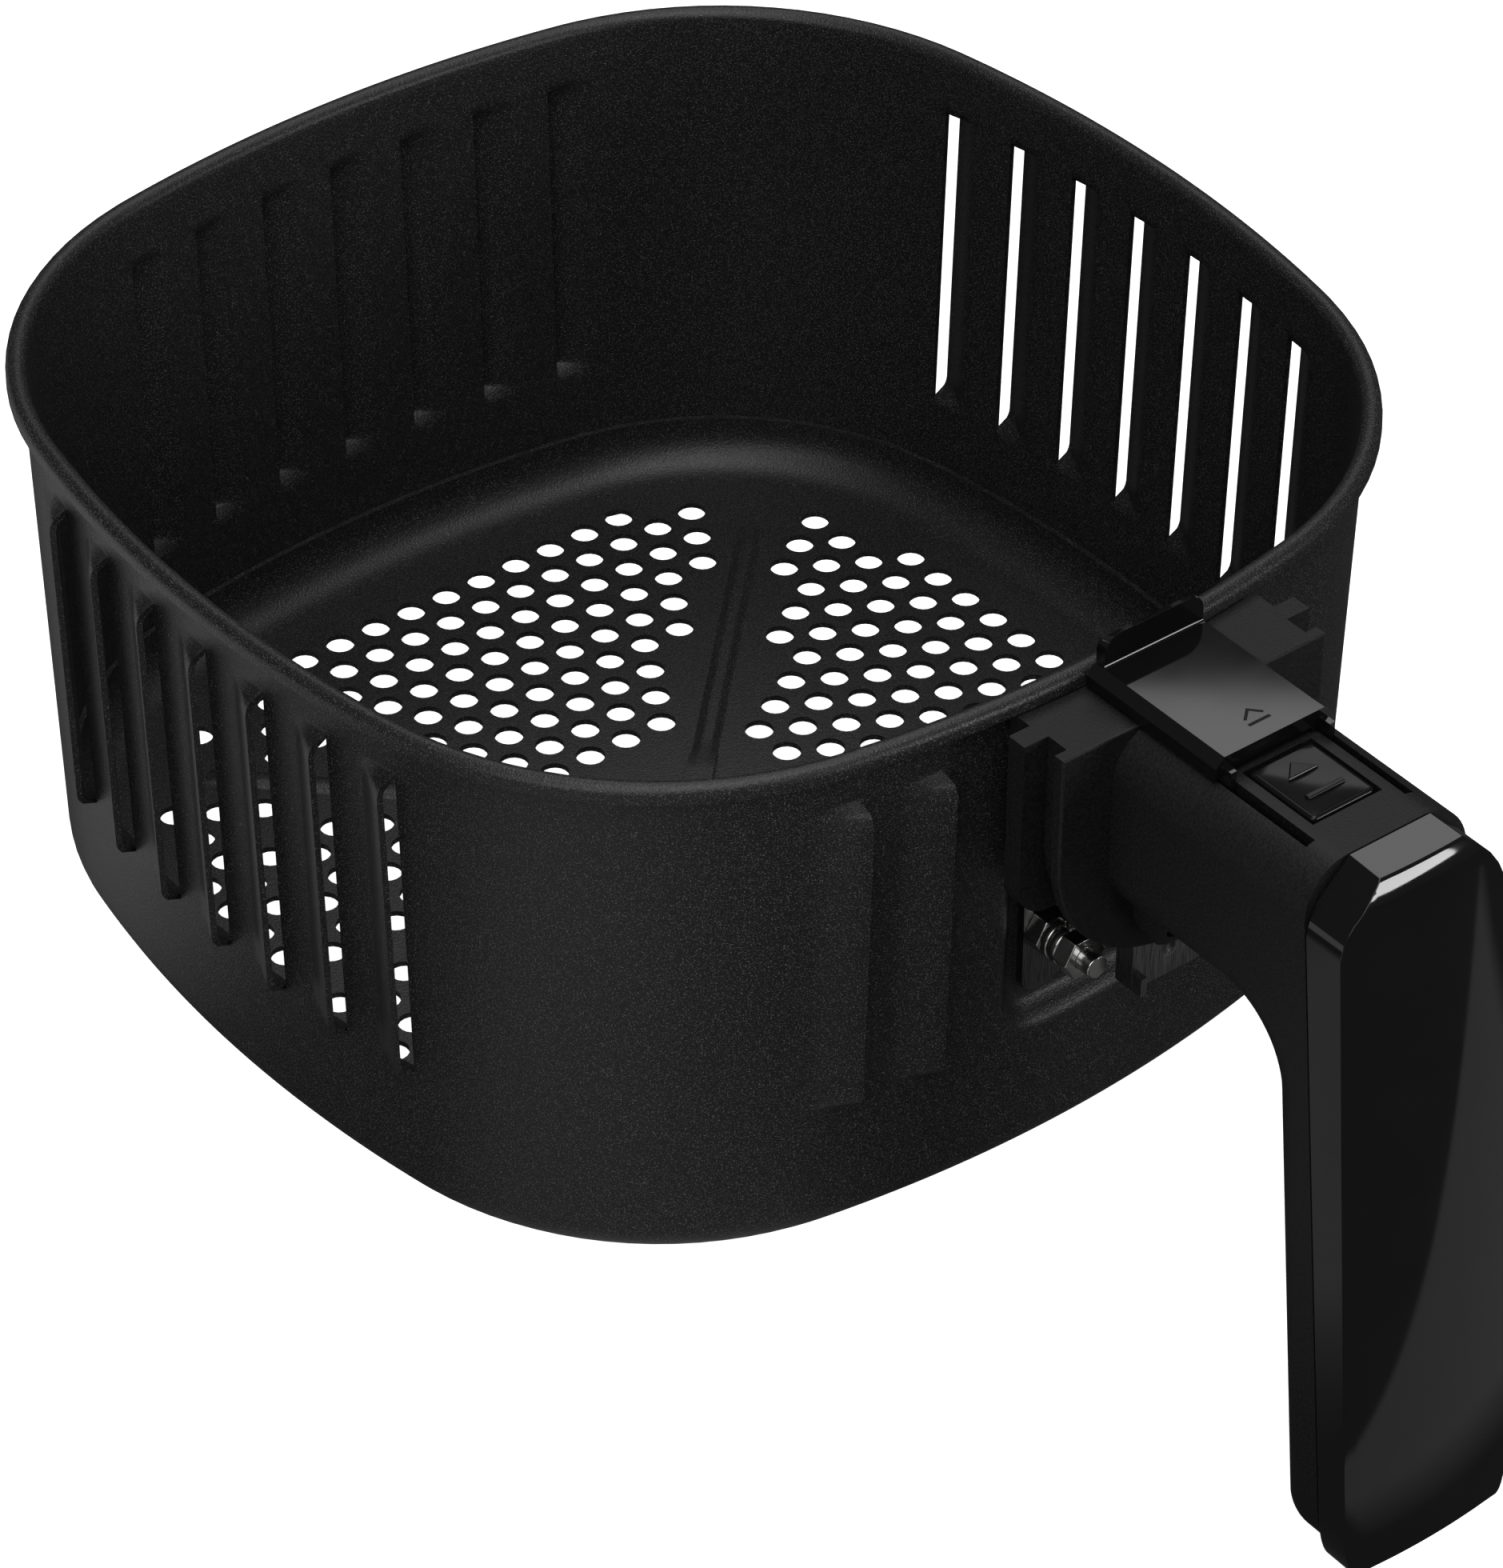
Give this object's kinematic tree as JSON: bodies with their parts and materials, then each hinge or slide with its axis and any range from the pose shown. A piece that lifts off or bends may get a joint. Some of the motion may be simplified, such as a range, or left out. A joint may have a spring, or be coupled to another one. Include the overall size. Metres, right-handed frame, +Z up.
{
  "type": "air fryer basket",
  "caption": "Removable louvred air fryer basket with a perforated floor, on a moulded handle with a push button, a sliding guard and a sprung catch for the pan.",
  "frame": {"origin": "middle of the basket's floor, on its underside", "axes": "+Z up, +X to the right of someone who holds the handle, the handle points along -Y"},
  "size_m": [0.196, 0.2725, 0.1354],
  "materials": {
    "coated_steel": "speckled non-stick coating",
    "stainless_steel": "bright, machined",
    "fastener_steel": "zinc plated",
    "grained_plastic": "fine leather grain",
    "gloss_plastic": "polished",
    "button_plastic": "half gloss"
  },
  "bodies": {
    "basket": {"basket_shell": "coated_steel", "basket_floor": "coated_steel", "wall_bracket": "stainless_steel", "bracket_bolts": "stainless_steel", "inner_nuts": "stainless_steel", "spring_washers": "stainless_steel", "outer_nuts": "stainless_steel", "block_bolts": "fastener_steel", "block_nuts": "fastener_steel", "bolt_washers": "fastener_steel", "housing_screws": "fastener_steel", "cover_screws": "fastener_steel", "latch_pin": "fastener_steel", "lever_spring": "fastener_steel", "mount_block": "grained_plastic", "handle_housing": "grained_plastic", "grip_cover": "gloss_plastic"},
    "guard": {"slide_guard": "gloss_plastic"},
    "button": {"release_button": "button_plastic"},
    "latch": {"latch_lever": "stainless_steel"}
  },
  "joints": [
    {"name": "guard_slide", "type": "slide", "parent": "basket", "child": "guard", "axis": [0, -1, 0], "range_m": [0, 0.0165]},
    {"name": "latch_hinge", "type": "hinge", "parent": "basket", "child": "latch", "pos_m": [0.0089, -0.1145, 0.073], "axis": [1, 0, 0], "range_deg": [0, 8], "stiffness_Nm_per_rad": 0.5, "springref_deg": -5.73, "deforming": ["lever_spring"]},
    {"name": "button_press", "type": "slide", "parent": "basket", "child": "button", "axis": [0, 0, -1], "range_m": [0, 0.003]}
  ],
  "couplings": [
    {"joint": "button_press", "follows": "latch_hinge", "m_per_rad": 0.02148}
  ]
}
